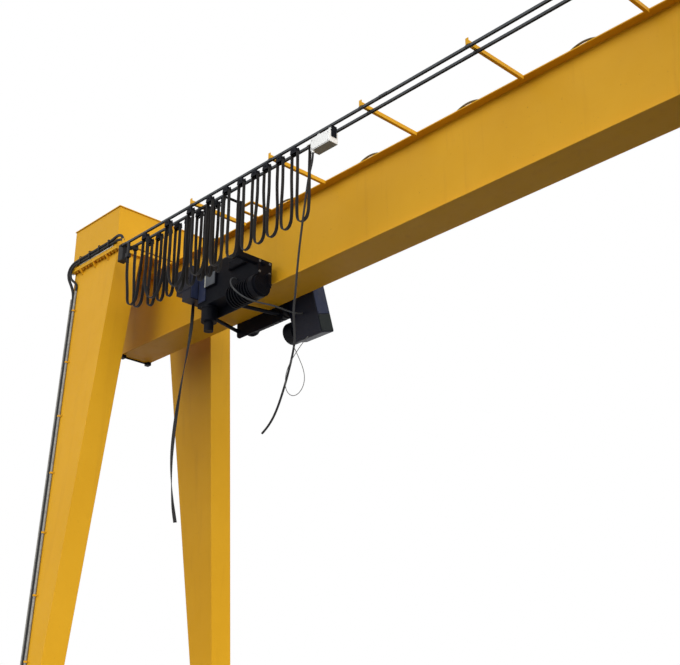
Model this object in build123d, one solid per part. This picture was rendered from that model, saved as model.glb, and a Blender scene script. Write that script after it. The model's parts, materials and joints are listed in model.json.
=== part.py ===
from build123d import *
from math import radians, tan
import os

os.makedirs("parts", exist_ok=True)

# Girder
BAYS = 6
BAY = 1500.0
ARM_END = 1360.0
HALF_LENGTH = ARM_END + BAYS * BAY / 2
GIRDER_Z = 7100.0
GIRDER_H = 1024.0
GIRDER_TOP = GIRDER_Z + GIRDER_H
TOP_FLANGE_HALF = 294.0
TOP_FLANGE_T = 14.0
LOW_FLANGE_HALF = 243.0
LOW_FLANGE_T = 16.0
WEB_HALF = 187.0
WEB_T = 8.0
END_PLATE_T = 12.0
WEB_LOW = GIRDER_Z + LOW_FLANGE_T
WEB_TOP = GIRDER_TOP - TOP_FLANGE_T
STOP_INSET = 40.0
STOP_LENGTH = 80.0
STOP_WIDTH = 60.0
STOP_DEPTH = 45.0

# Arched loops on the top flange, one in each bay
LOOP_LENGTH = 345.0
LOOP_RISE = 42.0
LOOP_BAR = 16.0
LOOP_INSET = 10.0

# Striker bracket on the top flange's near edge
STRIKER_X = (3080.0, 3340.0)
STRIKER_REACH = 330.0
STRIKER_BAR = 40.0

# Heads, measured from the girder's end towards midspan
HEAD_OUT = 130.0
HEAD_IN = 983.0
HEAD_HALF = 1016.0
HEAD_RISE = 727.0
HEAD_PLATE = 12.0
COVER_T = 14.0
COVER_LIP = 12.0
FLANGE_T = 28.0
FLANGE_LIP = 12.0
SEAT_GAP = 64.0
HEAD_LOW = GIRDER_TOP + SEAT_GAP + 2 * FLANGE_T
HEAD_TOP = GIRDER_TOP + HEAD_RISE
RIB_SHARES = (0.2, 0.5, 0.8)
RIB_RISE = 20.0

# Legs
LEG_PLATE = 10.0
LEG_TOP_X = (-122.0, 949.0)
LEG_SET_IN = 42.0
LEG_TOP_DEPTH = 361.0
LEG_TOP_Y = (HEAD_HALF - LEG_SET_IN - LEG_TOP_DEPTH, HEAD_HALF - LEG_SET_IN)
LEG_FOOT_X = (457.0, 667.0)
LEG_FOOT_Y = (1288.0, 1582.0)
LEG_TOP_Z = GIRDER_TOP + SEAT_GAP
LEG_FOOT_Z = 640.0
FOOT_LIP = 40.0
GUSSET_REACH = 70.0
GUSSET_DROP = 110.0
GUSSET_TIP = 15.0
GUSSET_T = 12.0

# Ground beams and wheels
BEAM_HALF = 2050.0
BEAM_WIDTH = 300.0
BEAM_Z = 100.0
BEAM_TOP = LEG_FOOT_Z - FLANGE_T
BEAM_PLATE = 10.0
WHEEL_R = 200.0
WHEEL_W = 90.0
WHEEL_RIM = 50.0
WHEEL_HUB_R = 75.0
WHEEL_WEB = 36.0
WHEEL_CLEAR = 20.0
WHEEL_INSET = 290.0
WHEEL_Y = BEAM_HALF - WHEEL_INSET
AXLE_R = 35.0

# Festoon arms and rails
ARM_W = 36.0
ARM_H = 48.0
ARM_WALL = 4.0
ARM_REACH = 1165.0
TIP_T = 8.0
TIP_RISE = 26.0
RAIL_INSET = 22.0
RAIL_PITCH = 128.0
OUTER_Y = RAIL_INSET - ARM_REACH
INNER_Y = OUTER_Y + RAIL_PITCH
RAIL_W = 28.0
RAIL_WALL = 2.5
RAIL_SLOT = 15.0
RAIL_TOP = GIRDER_TOP - ARM_H
RAIL_LOW = RAIL_TOP - RAIL_W
RAIL_OVERRUN = 30.0
RAIL_HALF = HALF_LENGTH - ARM_END + RAIL_OVERRUN
CLIP_L = 64.0
CLIP_T = 5.0
SLEEVE_X = 6190.0
SLEEVE_L = 120.0
END_BOX_L = 120.0
END_BOX_INSET = 18.0
END_BOX_DROP = 180.0
END_BOX_RISE = 34.0
END_BAR_T = 20.0
CLAMP_L = 60.0
CLAMP_H = 56.0
CLAMP_NECK_L = 40.0
CLAMP_NECK_T = 24.0
OUTER_CLAMP_X = 1482.0
OUTER_CLAMP_DROP = 214.0
INNER_CLAMP_X = 1448.0
INNER_CLAMP_DROP = CLAMP_H

# Cable carriers, their X measured from the girder's left end
RUN_GAP = 5.0
ROLLER_R = RAIL_W / 2 - RAIL_WALL - RUN_GAP
ROLLER_PITCH = 44.0
NECK_T = RAIL_SLOT - 2 * RUN_GAP
NECK_L = 40.0
HANGER_H = 62.0
SADDLE_GAP = 8.0
SADDLE_R = HANGER_H - SADDLE_GAP
SADDLE_WALL = 14.0
SADDLE_EDGE = 4.0
CABLE_W = 44.0
CABLE_T = 9.0
SADDLE_W = CABLE_W + 2 * SADDLE_EDGE
SADDLE_LOW = RAIL_LOW - HANGER_H
OUTER_CARRIERS = (1871.0, 2377.0, 2840.0, 3233.0, 3556.0, 3835.0, 4091.0, 4299.0, 4537.0, 4787.0)
INNER_CARRIERS = (1790.0, 2000.0, 2200.0, 2400.0, 2620.0, 2850.0, 3020.0, 3190.0)
TOW_X = 3360.0

# Hanging loops of flat cable
LOOP_LOW = GIRDER_Z - 50.0
LOOP_BELLY = 95.0
LOOP_SPREAD = 39.0
LOOP_FALL = 115.0
LOOP_BULGE = 258.0
WAIST_SHARE = 0.95
WAIST_HEIGHT = 0.64
FOOT_SHARE = 0.85
FOOT_MOST = 95.0

# Pendant trolley box
PENDANT_X = 5120.0
PENDANT_DROP = 76.0
PENDANT_L = 305.0
PENDANT_W = 124.0
PENDANT_H = 148.0
PENDANT_NECKS = (60.0, 245.0)
PENDANT_ROUND = 8.0
PENDANT_TOP = RAIL_LOW - PENDANT_DROP
PENDANT_LOW = PENDANT_TOP - PENDANT_H
TOW_HOOK_L = 108.0
TOW_HOOK_T = 20.0
TOW_HOOK_EDGE = 28.0
LID_T = 4.0
LID_EDGE = 10.0
GLAND_R = 17.0
GLAND_H = 26.0

# Hoist frame, X from the girder's left end and Z from its underside
SIDE_GAP = 20.0
SIDE_T = 15.0
SIDE_IN = LOW_FLANGE_HALF + SIDE_GAP
SIDE_OUT = SIDE_IN + SIDE_T
NEAR_PLATE_X = (2120.0, 3300.0)
FAR_PLATE_X = (2060.0, 2980.0)
NEAR_PLATE_LOW = -140.0
FAR_PLATE_LOW = -200.0
PLATE_TOP = 224.0
PLATE_ROUND = 60.0
BAR_R = 25.0
BAR_Z = -100.0
NEAR_BARS = (2232.0, 2780.0)
FAR_BARS = (2087.0, 2908.0)
AXLE_X = (2330.0, 2690.0)
TROLLEY_R = 80.0
TROLLEY_W = 40.0
TROLLEY_GAP = 1.0
TREAD_INSET = 7.0
TROLLEY_RIM_R = 95.0
TROLLEY_RIM = 10.0
TROLLEY_NECK_R = 50.0
TROLLEY_AXLE_R = 25.0

# Near side of the hoist
CABINET_X = (1848.0, 2172.0)
CABINET_Y = (-600.0, -215.0)
CABINET_TOP = 560.0
CABINET_ROUND = 12.0
SKIRT_X = 1990.0
SKIRT_LOW = 100.0
CASE_END = 2860.0
CASE_Y = -480.0
CASE_LOW = -20.0
CASE_TOP = 575.0
CASE_SLOPE = 60.0
SHOULDER_END = 3190.0
SHOULDER_Y = -540.0
SHOULDER_TOP = 390.0
TERMINAL_X = (2350.0, 2560.0)
TERMINAL_Z = (200.0, 390.0)
TERMINAL_T = 30.0
MOTOR_END = 3410.0
MOTOR_Y = -430.0
MOTOR_Z = -70.0
MOTOR_R = 128.0
FIN_R = 150.0
FIN_T = 14.0
FIN_COUNT = 9
BELL_L = 110.0
BELL_STEP = 30.0
MOTOR_BOX_X = (2860.0, 3397.0)
MOTOR_BOX_Y = -500.0
MOTOR_BOX_TOP = 270.0
TRAVEL_X = 2310.0
TRAVEL_Y = -390.0
TRAVEL_R = (110.0, 102.0, 62.0)
TRAVEL_Z = (-50.0, -225.0, -350.0)
POST_X = 3362.0
POST_W = 70.0
POST_OFF = 245.0
POST_Y = INNER_Y + POST_OFF
POST_LIP = 5.0
POST_TOP = SADDLE_LOW + SADDLE_R + POST_LIP - GIRDER_Z
FORK_W = 40.0

# Far side of the hoist
DRUM_X = (2090.0, 2960.0)
DRUM_R = 140.0
DRUM_RIM_R = 170.0
DRUM_RIM = 22.0
DRUM_Y = SIDE_OUT + DRUM_RIM_R + RUN_GAP
DRUM_Z = 60.0
GROOVES = 10
GROOVE_DEPTH = 8.0
GEAR_END = 3446.0
GEAR_TILT = 18.0
GEAR_W = 226.0
GEAR_H = 715.0
GEAR_Y = 516.0
GEAR_Z = -440.0
GEAR_ROUND = 25.0
BRAKE_R = 147.0
BRAKE_L = 170.0
BRAKE_Y = 570.0
BRAKE_Z = -262.0

# Cables that run along the head and down the near left leg
CONDUIT_R = 17.0
SUPPLY_R = 20.0
FIXED_GAP = 0.4
CONDUIT_INSET = 18.0
SUPPLY_INSET = 60.0
SECOND_INSET = 104.0
CONDUIT_TOP = 7760.0
SECOND_TOP = 7870.0
SECOND_LEAD = 110.0
SUPPLY_TOP = 7850.0
CONDUIT_FOOT = 740.0

# Free cords: X from the girder's left end, Y, Z from its underside
PENDANT_CORD_R = 12.0
PENDANT_CORD_Y = OUTER_Y - 45.0
PENDANT_CORD = (
    (5140, 698), (5140, 610), (5078, 440), (5035, 200), (4994, -60), (4950, -340), (4912, -653),
    (4896, -900), (4864, -1100), (4886, -1300), (4900, -1480), (4843, -1690), (4745, -1945),
    (4624, -2182), (4500, -2312), (4407, -2360))
WIRE_R = 4.0
WIRE_Y = PENDANT_CORD_Y - PENDANT_CORD_R - WIRE_R - FIXED_GAP
WIRE_STEP = 1.1
WIRE_FLAT = 5
WIRE = (
    (5122, -1483), (5046, -1526), (4960, -1592), (4874, -1668), (4800, -1762), (4776, -1862),
    (4786, -1962), (4840, -2042), (4926, -2086), (5020, -2066), (5082, -1990), (5086, -1892),
    (5052, -1794), (5006, -1704), (4958, -1616), (4914, -1534))
TAIL_R = 15.0
TAIL_Y = -450.0
TAIL = (
    (2032, 74), (2032, -80), (2012, -300), (1960, -560), (1880, -900), (1812, -1270), (1768, -1600),
    (1750, -1900), (1775, -2190), (1822, -2450), (1862, -2610), (1909, -2754))
MOTOR_CORD_R = 10.0
MOTOR_CORD = (
    (2990, -500, 120), (2990, -570, 120), (3020, -625, 40), (3080, -645, -60), (3170, -625, -160),
    (3250, -560, -240), (3300, -440, -268), (3310, -300, -255), (3290, -150, -228), (3255, 0, -205),
    (3222, 140, -190))
MOTOR_CORD_END = (3200, 320)
MOTOR_CORD_RUN = 130.0
# Clipped cables: first X and Z at the end box, then X, distance off the head and Z, Z from the girder's top
SUPPLY_Y = OUTER_Y + 58.0
SUPPLY_DROP = ((1250, -14), (1250, 66))
SUPPLY_RUN = (
    (1190, 66, 166), (1070, 50, 212), (880, 21, 214), (100, 21, 206), (-70, 26, 198), (-150, 34, 146),
    (-178, 40, 66), (-160, 38, -24))
SECOND_Y = OUTER_Y + 93.0
SECOND_DROP = ((1205, -14), (1205, 56))
SECOND_RUN = (
    (1150, 31, 131), (1040, 24, 164), (850, 18, 168), (100, 18, 162), (-30, 28, 156), (-95, 36, 116),
    (-122, 40, 46), (-100, 38, -44))


def at(x):
    return x - HALF_LENGTH


def up(z):
    return z + GIRDER_Z


def span(x0, x1, y0, y1, z0, z1):
    centre = ((x0 + x1) / 2, (y0 + y1) / 2, (z0 + z1) / 2)
    return Pos(*centre) * Box(abs(x1 - x0), abs(y1 - y0), abs(z1 - z0))


def rod_x(x0, x1, y, z, r):
    return Pos((x0 + x1) / 2, y, z) * Rot(0, 90, 0) * Cylinder(r, abs(x1 - x0))


def rod_y(x, y0, y1, z, r):
    return Pos(x, (y0 + y1) / 2, z) * Rot(90, 0, 0) * Cylinder(r, abs(y1 - y0))


def rod_z(x, y, z0, z1, r):
    return Pos(x, y, (z0 + z1) / 2) * Cylinder(r, abs(z1 - z0))


def plate_x(points, x, thick):
    face = make_face(Polyline(*[(x - thick / 2, y, z) for y, z in points], close=True))
    return extrude(face, thick, dir=(1, 0, 0))


def join(solids):
    whole = solids[0]
    for solid in solids[1:]:
        whole = whole + solid
    return whole


def save(name, solids):
    export_step(Compound(children=list(solids)), f"parts/{name}.step")


def both_ends(solids):
    left = list(solids)
    return left + [mirror(s, about=Plane.YZ) for s in left]


def both_sides(solids):
    near = list(solids)
    return near + [mirror(s, about=Plane.XZ) for s in near]


def fillet_radii(pts):
    radii = []
    for a, b, c in zip(pts, pts[1:], pts[2:]):
        p = Vector(*b) - Vector(*a)
        q = Vector(*c) - Vector(*b)
        half_turn = radians(max(p.get_angle(q), 0.5)) / 2
        radii.append(0.45 * min(p.length, q.length) / tan(half_turn))
    return radii


def tube(name, pts, r):
    radii = fillet_radii(pts)
    line = FilletPolyline(*pts, radius=radii)
    print(name, "length", round(line.length), "least radius", round(min(radii)))
    return sweep(Plane(origin=line @ 0, z_dir=line % 0) * Circle(r), path=line)


def placed(points):
    return [(at(x), y, up(z)) for x, y, z in points]


# Girder plates
web_end = HALF_LENGTH - END_PLATE_T
low_flange = span(-HALF_LENGTH, HALF_LENGTH, -LOW_FLANGE_HALF, LOW_FLANGE_HALF, GIRDER_Z, WEB_LOW)
save("girder_bottom_flange", [low_flange])
top_flange = span(-HALF_LENGTH, HALF_LENGTH, -TOP_FLANGE_HALF, TOP_FLANGE_HALF, WEB_TOP, GIRDER_TOP)
save("girder_top_flange", [top_flange])
near_web = span(-web_end, web_end, -WEB_HALF, WEB_T - WEB_HALF, WEB_LOW, WEB_TOP)
save("girder_webs", both_sides([near_web]))
end_plate = span(-HALF_LENGTH, -web_end, -WEB_HALF, WEB_HALF, WEB_LOW, WEB_TOP)
save("girder_end_plates", both_ends([end_plate]))
stop_x = (at(STOP_INSET), at(STOP_INSET + STOP_LENGTH))
stop_y = (-LOW_FLANGE_HALF, STOP_WIDTH - LOW_FLANGE_HALF)
stop = span(*stop_x, *stop_y, GIRDER_Z - STOP_DEPTH, GIRDER_Z)
save("trolley_stops", both_ends(both_sides([stop])))


# Arched loops and the striker bracket on the top flange
def flange_loop(x):
    half = LOOP_LENGTH / 2
    y = LOOP_INSET - TOP_FLANGE_HALF
    low = GIRDER_TOP
    with BuildSketch(Plane.XZ.offset(-y - LOOP_BAR)) as arch:
        with BuildLine():
            ThreePointArc((x - half, low), (x, low + LOOP_RISE), (x + half, low))
            Line((x + half, low), (x + half - 2 * LOOP_BAR, low))
            ThreePointArc(
                (x + half - 2 * LOOP_BAR, low), (x, low + LOOP_RISE - LOOP_BAR),
                (x - half + 2 * LOOP_BAR, low))
            Line((x - half + 2 * LOOP_BAR, low), (x - half, low))
        make_face()
    return extrude(arch.sketch, LOOP_BAR)


save("flange_loops", [flange_loop(at(ARM_END + (k + 0.5) * BAY)) for k in range(BAYS)])
striker_tip = -TOP_FLANGE_HALF - STRIKER_REACH
striker = [
    span(at(x), at(x) + STRIKER_BAR, striker_tip, -TOP_FLANGE_HALF, WEB_TOP, GIRDER_TOP) for x in STRIKER_X]
link_x = (at(STRIKER_X[0]), at(STRIKER_X[1]) + STRIKER_BAR)
striker.append(span(*link_x, striker_tip, striker_tip + STRIKER_BAR, WEB_TOP, GIRDER_TOP))
save("striker_bracket", [join(striker)])

# Heads over the girder ends
head_x = (at(-HEAD_OUT), at(HEAD_IN))
head = span(*head_x, -HEAD_HALF, HEAD_HALF, HEAD_LOW, HEAD_TOP - COVER_T)
head = head - span(
    head_x[0] + HEAD_PLATE, head_x[1] - HEAD_PLATE, HEAD_PLATE - HEAD_HALF, HEAD_HALF - HEAD_PLATE,
    HEAD_LOW + HEAD_PLATE, HEAD_TOP - COVER_T)
cover_y = HEAD_HALF + COVER_LIP
head = head + span(
    head_x[0] - COVER_LIP, head_x[1] + COVER_LIP, -cover_y, cover_y, HEAD_TOP - COVER_T, HEAD_TOP)
for share in RIB_SHARES:
    rib = plate_x(
        [(HEAD_PLATE / 2 - HEAD_HALF, HEAD_LOW), (-HEAD_HALF - FLANGE_LIP, HEAD_LOW),
         (-HEAD_HALF, HEAD_LOW + RIB_RISE), (HEAD_PLATE / 2 - HEAD_HALF, HEAD_LOW + RIB_RISE)],
        head_x[0] + share * (head_x[1] - head_x[0]), GUSSET_T)
    head = join([head] + both_sides([rib]))
save("head_beams", both_ends([head]))
flange_x = (head_x[0] - FLANGE_LIP, head_x[1] + FLANGE_LIP)
flange_y = (-HEAD_HALF - FLANGE_LIP, -LEG_TOP_Y[0] + 2 * FLANGE_LIP)
head_flange = span(*flange_x, *flange_y, HEAD_LOW - FLANGE_T, HEAD_LOW)
seat = span(at(0), at(HEAD_IN), -TOP_FLANGE_HALF, TOP_FLANGE_HALF, GIRDER_TOP, HEAD_LOW)
save("head_flanges", both_ends(both_sides([head_flange]) + [seat]))


# Tapered box legs
def leg_section(xs, ys, z, inset):
    x0, x1 = at(xs[0]) + inset, at(xs[1]) - inset
    y0, y1 = -ys[1] + inset, -ys[0] - inset
    return make_face(Polyline((x0, y0, z), (x1, y0, z), (x1, y1, z), (x0, y1, z), close=True))


def leg_block(inset):
    foot = leg_section(LEG_FOOT_X, LEG_FOOT_Y, LEG_FOOT_Z, inset)
    top = leg_section(LEG_TOP_X, LEG_TOP_Y, LEG_TOP_Z, inset)
    return loft([foot, top])


def leg_edge(inset, off, z):
    share = (LEG_TOP_Z - z) / (LEG_TOP_Z - LEG_FOOT_Z)
    x = LEG_TOP_X[0] + share * (LEG_FOOT_X[0] - LEG_TOP_X[0])
    y = LEG_TOP_Y[1] + share * (LEG_FOOT_Y[1] - LEG_TOP_Y[1])
    return (at(x + inset), -y - off, z)


leg = leg_block(0)
for share in RIB_SHARES:
    gusset_x = at(LEG_TOP_X[0] + share * (LEG_TOP_X[1] - LEG_TOP_X[0]))
    inner, outer = LEG_PLATE - LEG_TOP_Y[1], -LEG_TOP_Y[1] - GUSSET_REACH
    tip, drop = LEG_TOP_Z - GUSSET_TIP, LEG_TOP_Z - GUSSET_DROP
    corners = [(inner, LEG_TOP_Z), (outer, LEG_TOP_Z), (outer, tip), (inner, drop)]
    leg = leg + plate_x(corners, gusset_x, GUSSET_T)
save("legs", both_ends(both_sides([leg - leg_block(LEG_PLATE)])))
leg_flange = span(*flange_x, *flange_y, LEG_TOP_Z, HEAD_LOW - FLANGE_T)
foot_x = (at(LEG_FOOT_X[0]) - FOOT_LIP, at(LEG_FOOT_X[1]) + FOOT_LIP)
foot_y = (-LEG_FOOT_Y[1] - FOOT_LIP, -LEG_FOOT_Y[0] + FOOT_LIP)
foot_flange = span(*foot_x, *foot_y, BEAM_TOP, LEG_FOOT_Z)
save("leg_flanges", both_ends(both_sides([leg_flange, foot_flange])))


# Ground beams and their wheels
def ground_wheel(y):
    web = (WHEEL_W - WHEEL_WEB) / 2
    wheel = rod_x(beam_mid - WHEEL_W / 2, beam_mid + WHEEL_W / 2, y, WHEEL_R, WHEEL_R)
    for face in (beam_mid - WHEEL_W / 2, beam_mid + WHEEL_W / 2 - web):
        dish = rod_x(face, face + web, y, WHEEL_R, WHEEL_R - WHEEL_RIM)
        wheel = wheel - (dish - rod_x(face, face + web, y, WHEEL_R, WHEEL_HUB_R))
    return wheel + rod_x(beam_x[0] + BEAM_PLATE, beam_x[1] - BEAM_PLATE, y, WHEEL_R, AXLE_R)


beam_mid = at((LEG_FOOT_X[0] + LEG_FOOT_X[1]) / 2)
beam_x = (beam_mid - BEAM_WIDTH / 2, beam_mid + BEAM_WIDTH / 2)
beam_in = (beam_x[0] + BEAM_PLATE, beam_x[1] - BEAM_PLATE)
slot = WHEEL_R + WHEEL_CLEAR
beam = span(*beam_x, -BEAM_HALF, BEAM_HALF, BEAM_Z, BEAM_TOP)
beam_end = BEAM_HALF - BEAM_PLATE
beam = beam - span(*beam_in, -beam_end, beam_end, BEAM_Z + BEAM_PLATE, BEAM_TOP - BEAM_PLATE)
for y in (-WHEEL_Y, WHEEL_Y):
    beam = beam - span(*beam_in, y - slot, y + slot, BEAM_Z, BEAM_Z + BEAM_PLATE)
save("ground_beams", both_ends([beam]))
save("ground_wheels", both_ends([ground_wheel(-WHEEL_Y), ground_wheel(WHEEL_Y)]))


# Festoon arms and rails
def arm(x):
    half = ARM_W / 2
    hole = half - ARM_WALL
    bar = span(x - half, x + half, -ARM_REACH, -TOP_FLANGE_HALF, RAIL_TOP, GIRDER_TOP)
    bar = bar - span(
        x - hole, x + hole, TIP_T - ARM_REACH, -TOP_FLANGE_HALF - TIP_T, RAIL_TOP + ARM_WALL,
        GIRDER_TOP - ARM_WALL)
    return bar + span(x - half, x + half, -ARM_REACH, TIP_T - ARM_REACH, RAIL_TOP, GIRDER_TOP + TIP_RISE)


def c_rail(y, sleeves):
    rail = span(-RAIL_HALF, RAIL_HALF, y - RAIL_W / 2, y + RAIL_W / 2, RAIL_LOW, RAIL_TOP)
    side = RAIL_W / 2 + CLIP_T
    for x, length in sleeves:
        rail = rail + span(x - length / 2, x + length / 2, y - side, y + side, RAIL_LOW + CLIP_T, RAIL_TOP)
    inner = RAIL_W / 2 - RAIL_WALL
    hollow = (RAIL_LOW + RAIL_WALL, RAIL_TOP - RAIL_WALL)
    rail = rail - span(-RAIL_HALF, RAIL_HALF, y - inner, y + inner, *hollow)
    return rail - span(
        -RAIL_HALF, RAIL_HALF, y - RAIL_SLOT / 2, y + RAIL_SLOT / 2, RAIL_LOW, RAIL_LOW + RAIL_WALL)


arm_x = [at(ARM_END + k * BAY) for k in range(BAYS + 1)]
save("festoon_arms", [arm(x) for x in arm_x])
clips = [(x, CLIP_L) for x in arm_x]
clips[0] = (arm_x[0] + CLIP_L / 2, CLIP_L)
clips[-1] = (arm_x[-1] - CLIP_L / 2, CLIP_L)
save("festoon_rails", [c_rail(OUTER_Y, clips + [(at(SLEEVE_X), SLEEVE_L)]), c_rail(INNER_Y, clips)])
box_y = (OUTER_Y + END_BOX_INSET, INNER_Y - END_BOX_INSET)
box_z = (RAIL_LOW - END_BOX_DROP, RAIL_TOP + END_BOX_RISE)
bar_y = (OUTER_Y - SADDLE_W / 2, INNER_Y + SADDLE_W / 2)
end_box = span(-RAIL_HALF - END_BOX_L, -RAIL_HALF, *box_y, *box_z)
end_box = end_box + span(-RAIL_HALF - END_BAR_T, -RAIL_HALF, *bar_y, RAIL_LOW, RAIL_TOP)


def loop_clamp(x, y, drop):
    low = RAIL_LOW - drop
    side = SADDLE_W / 2
    block = span(x - CLAMP_L / 2, x + CLAMP_L / 2, y - side, y + side, low, low + CLAMP_H)
    if drop == CLAMP_H:
        return block
    neck_y = (y - CLAMP_NECK_T / 2, y + CLAMP_NECK_T / 2)
    return block + span(x - CLAMP_NECK_L / 2, x + CLAMP_NECK_L / 2, *neck_y, low + CLAMP_H, RAIL_LOW)


outer_clamp = loop_clamp(at(OUTER_CLAMP_X), OUTER_Y, OUTER_CLAMP_DROP)
inner_clamp = loop_clamp(at(INNER_CLAMP_X), INNER_Y, INNER_CLAMP_DROP)
save("festoon_end_box", [end_box, outer_clamp, inner_clamp])


# Cable carriers: rollers in the rail, a neck through its slot and a curved saddle
def rail_runner(x, y, low):
    axis = RAIL_LOW + RAIL_WALL + RUN_GAP + ROLLER_R
    roller_y = (y - ROLLER_R, y + ROLLER_R)
    rollers = [rod_y(x + side * ROLLER_PITCH / 2, *roller_y, axis, ROLLER_R) for side in (-1, 1)]
    bar_x = ROLLER_PITCH / 2 + ROLLER_R / 2
    bar = span(x - bar_x, x + bar_x, y - NECK_T / 2, y + NECK_T / 2, axis - ROLLER_R, axis + ROLLER_R / 2)
    neck = span(x - NECK_L / 2, x + NECK_L / 2, y - NECK_T / 2, y + NECK_T / 2, low, axis)
    return join([bar] + rollers + [neck])


def carrier(x, y):
    inner = SADDLE_R - SADDLE_WALL
    y0, y1 = y - SADDLE_W / 2, y + SADDLE_W / 2
    saddle = rod_y(x, y0, y1, SADDLE_LOW, SADDLE_R) - rod_y(x, y0, y1, SADDLE_LOW, inner)
    saddle = saddle & span(x - SADDLE_R, x + SADDLE_R, y0, y1, SADDLE_LOW, SADDLE_LOW + SADDLE_R)
    return rail_runner(x, y, SADDLE_LOW + inner) + saddle


for i, cx in enumerate(OUTER_CARRIERS):
    save(f"pendant_carrier_{i + 1:02d}", [carrier(at(cx), OUTER_Y)])
for i, cx in enumerate(INNER_CARRIERS):
    save(f"power_carrier_{i + 1:02d}", [carrier(at(cx), INNER_Y)])
save("tow_carrier", [carrier(at(TOW_X), INNER_Y)])


# Flat festoon cables, one hanging loop between each two holders
def loop_points(x0, z0, x1, z1):
    mid = (x0 + x1) / 2
    half = (x1 - x0) / 2
    belly = min(max(half, LOOP_BELLY), half + LOOP_SPREAD)
    foot = min(FOOT_SHARE * belly, FOOT_MOST)
    sides = []
    for sign, x, z in ((-1, x0, z0), (1, x1, z1)):
        waist_z = LOOP_LOW + WAIST_HEIGHT * (z - LOOP_LOW)
        sides.append([
            (x, z), (x, z - LOOP_FALL), (mid + sign * WAIST_SHARE * half, waist_z),
            (mid + sign * belly, LOOP_LOW + LOOP_BULGE), (mid + sign * foot, LOOP_LOW)])
    return sides[0] + sides[1][::-1]


def ribbon(pts, y):
    flat = [(px, pz, 0) for px, pz in pts]
    radii = fillet_radii(flat)
    line = FilletPolyline(*flat, radius=radii)
    print("loop length", round(line.length), "least radius", round(min(radii)))
    strip = Plane.XZ * trace(line, CABLE_T)
    return Pos(0, y + CABLE_W / 2, 0) * extrude(strip, CABLE_W, dir=(0, -1, 0))


def festoon(xs, y, first, last):
    starts = [first] + [(at(x) + grip, SADDLE_LOW) for x in xs]
    ends = [(at(x) - grip, SADDLE_LOW) for x in xs] + [last]
    return [ribbon(loop_points(*a, *b), y) for a, b in zip(starts, ends)]


grip = SADDLE_R - SADDLE_WALL / 2
hook_x = (at(PENDANT_X - TOW_HOOK_L), at(PENDANT_X))
hook_low = PENDANT_TOP - TOW_HOOK_T
outer_first = (at(OUTER_CLAMP_X), RAIL_LOW - OUTER_CLAMP_DROP)
outer_last = (hook_x[0] + TOW_HOOK_EDGE, hook_low)
save("pendant_festoon_cable", festoon(OUTER_CARRIERS, OUTER_Y, outer_first, outer_last))
inner_first = (at(INNER_CLAMP_X), RAIL_LOW - INNER_CLAMP_DROP)
inner_last = (at(TOW_X) - grip, SADDLE_LOW)
save("power_festoon_cable", festoon(INNER_CARRIERS, INNER_Y, inner_first, inner_last))

# Hoist frame straddling the lower flange
near_plate = span(
    at(NEAR_PLATE_X[0]), at(NEAR_PLATE_X[1]), -SIDE_OUT, -SIDE_IN, up(NEAR_PLATE_LOW), up(PLATE_TOP))
far_plate = span(
    at(FAR_PLATE_X[0]), at(FAR_PLATE_X[1]), SIDE_IN, SIDE_OUT, up(FAR_PLATE_LOW), up(PLATE_TOP))
plates = [fillet(p.edges().filter_by(Axis.Y), PLATE_ROUND) for p in (near_plate, far_plate)]
save("hoist_side_plates", plates)
between = span(at(FAR_PLATE_X[0]), at(FAR_PLATE_X[1]), -SIDE_IN, SIDE_IN, up(FAR_PLATE_LOW), up(0))
bars = []
for near_x, far_x in zip(NEAR_BARS, FAR_BARS):
    near_end = Vector(at(near_x), -SIDE_OUT, up(BAR_Z))
    far_end = Vector(at(far_x), SIDE_OUT, up(BAR_Z))
    along = far_end - near_end
    bar = Plane(origin=(near_end + far_end) / 2, z_dir=along) * Cylinder(BAR_R, along.length)
    bars.append(bar & between)
save("hoist_cross_bars", bars)


def trolley_wheel(x):
    z = WEB_LOW + TROLLEY_R + TROLLEY_GAP
    tread = -LOW_FLANGE_HALF + TREAD_INSET
    rim = -LOW_FLANGE_HALF - RUN_GAP
    steps = [
        (tread + TROLLEY_W, tread, TROLLEY_R), (tread, rim, TROLLEY_NECK_R),
        (rim, rim - TROLLEY_RIM, TROLLEY_RIM_R), (rim - TROLLEY_RIM, -SIDE_IN, TROLLEY_AXLE_R)]
    return join([rod_y(x, y0, y1, z, r) for y0, y1, r in steps])


save("trolley_wheels", both_sides([trolley_wheel(at(x)) for x in AXLE_X]))

# Near side: control cabinet, drive case, motors
cabinet_x = (at(CABINET_X[0]), at(CABINET_X[1]))
cabinet = span(*cabinet_x, *CABINET_Y, up(PLATE_TOP), up(CABINET_TOP))
cabinet = fillet(cabinet.edges().filter_by(Axis.Z).sort_by(Axis.Y)[:2], CABINET_ROUND)
cabinet = cabinet + span(at(SKIRT_X), cabinet_x[1], CABINET_Y[0], -SIDE_OUT, up(SKIRT_LOW), up(PLATE_TOP))
cabinet = cabinet + rod_z(at(TAIL[0][0]), TAIL_Y, up(TAIL[0][1]), up(SKIRT_LOW), GLAND_R)
save("control_cabinet", [cabinet])
case_x = (at(CABINET_X[1]), at(CASE_END))
case = plate_x(
    [(-SIDE_OUT, up(CASE_LOW)), (CASE_Y, up(CASE_LOW)), (CASE_Y, up(CASE_TOP - CASE_SLOPE)),
     (CASE_Y + CASE_SLOPE, up(CASE_TOP)), (-SIDE_OUT, up(CASE_TOP))],
    (case_x[0] + case_x[1]) / 2, case_x[1] - case_x[0])
case = case + span(case_x[1], at(SHOULDER_END), SHOULDER_Y, -SIDE_OUT, up(MOTOR_BOX_TOP), up(SHOULDER_TOP))
save("drive_case", [case])
terminal = span(
    at(TERMINAL_X[0]), at(TERMINAL_X[1]), CASE_Y - TERMINAL_T, CASE_Y, up(TERMINAL_Z[0]), up(TERMINAL_Z[1]))
save("terminal_box", [fillet(terminal.edges().filter_by(Axis.Y), PENDANT_ROUND)])
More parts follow.
